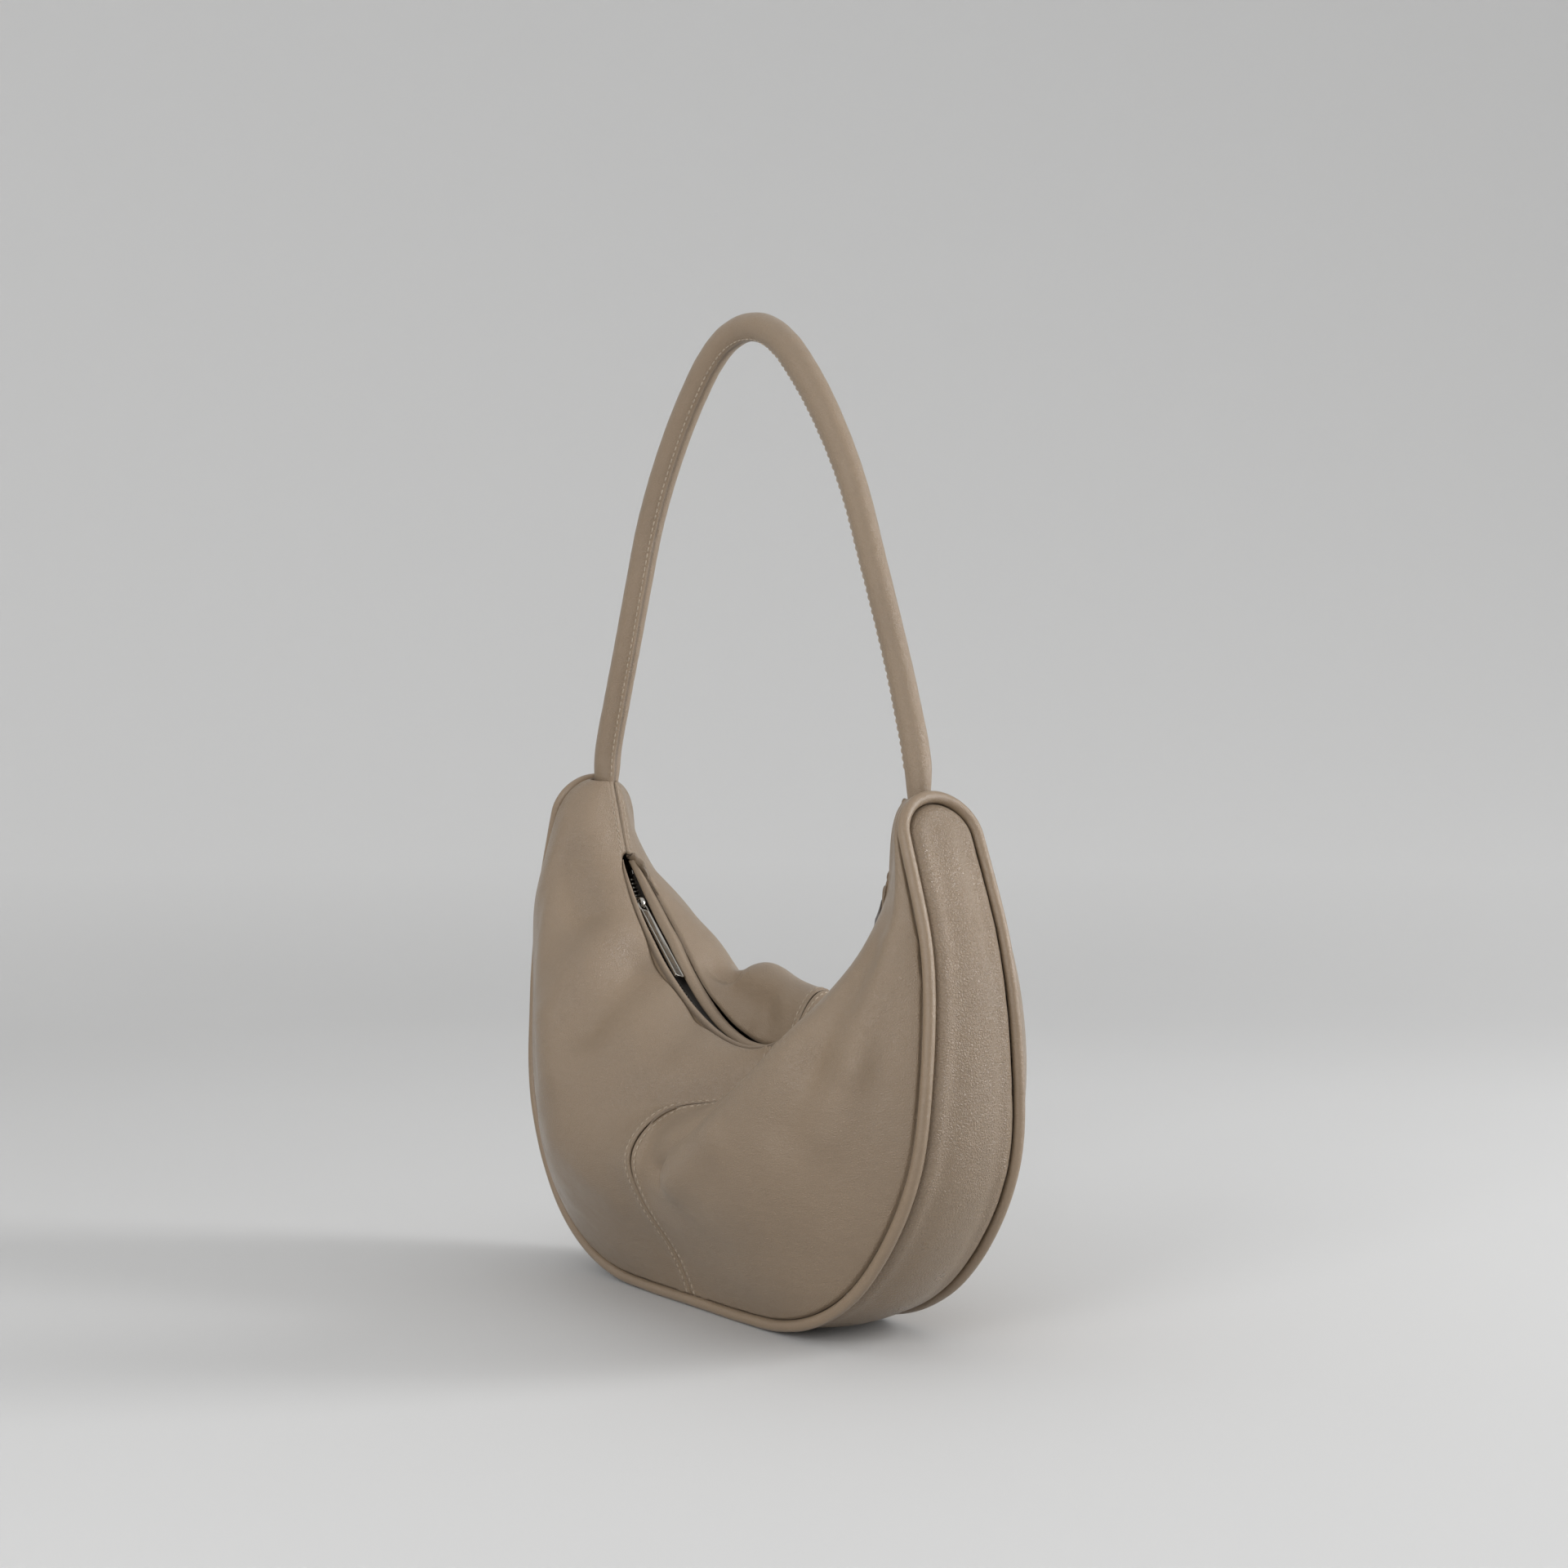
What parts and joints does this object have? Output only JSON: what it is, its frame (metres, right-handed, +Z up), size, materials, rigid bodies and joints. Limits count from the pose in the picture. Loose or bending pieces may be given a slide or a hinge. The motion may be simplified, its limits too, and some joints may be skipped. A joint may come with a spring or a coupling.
{
  "type": "crescent shoulder bag",
  "caption": "Crescent dumpling shoulder bag in soft leather: puffed panels on a long gusset band, curved top zip with a pull, and a rolled handle that folds down.",
  "frame": {"origin": "on the floor, under the middle of the base", "axes": "+X along the bag towards the end where the zip opens to, -Y out of the front, +Z up to the top of the raised handle"},
  "size_m": [0.3332, 0.1365, 0.4544],
  "materials": {
    "taupe_leather": "smooth taupe cowhide with a fine grain and a soft sheen",
    "handle_leather": "smooth taupe cowhide, rolled",
    "piping_leather": "thin taupe leather wrapped round a cord",
    "lining_cloth": "dark brown woven cloth",
    "zip_tape": "dark brown woven tape",
    "zip_teeth_metal": "dark nickel plate",
    "nickel": "bright nickel plate",
    "handle_cord": "twisted filler cord"
  },
  "bodies": {
    "bag": {"front_panel_left": "taupe_leather", "front_panel_right": "taupe_leather", "back_panel_left": "taupe_leather", "back_panel_right": "taupe_leather", "gusset_band": "taupe_leather", "piping": "piping_leather", "lining_front": "lining_cloth", "lining_back": "lining_cloth", "lining_gusset": "lining_cloth", "zip_tape_front": "zip_tape", "zip_tape_back": "zip_tape", "zip_facing_front": "taupe_leather", "zip_facing_back": "taupe_leather", "zip_teeth_front": "zip_teeth_metal", "zip_teeth_back": "zip_teeth_metal", "zip_top_stop_front": "zip_teeth_metal", "zip_top_stop_back": "zip_teeth_metal", "zip_bottom_stop": "zip_teeth_metal", "handle_tab_left": "handle_leather", "handle_tab_right": "handle_leather"},
    "slider": {"zip_slider": "nickel"},
    "puller": {"zip_puller": "nickel"},
    "handle": {"handle_sleeve": "handle_leather", "handle_core": "handle_cord"}
  },
  "joints": [
    {"name": "zip_travel", "type": "hinge", "parent": "bag", "child": "slider", "pos_m": [0, 0, 0.241], "axis": [0, -1, 0], "range_deg": [-5.5, 100], "deforming": ["zip_teeth_front", "zip_teeth_back"]},
    {"name": "puller_swing", "type": "hinge", "parent": "slider", "child": "puller", "pos_m": [-0.0923, 0, 0.17827], "axis": [0, -1, 0], "range_deg": [0, 150]},
    {"name": "handle_swing", "type": "hinge", "parent": "bag", "child": "handle", "pos_m": [0, 0, 0.2525], "axis": [1, 0, 0], "range_deg": [-90, 90]}
  ]
}
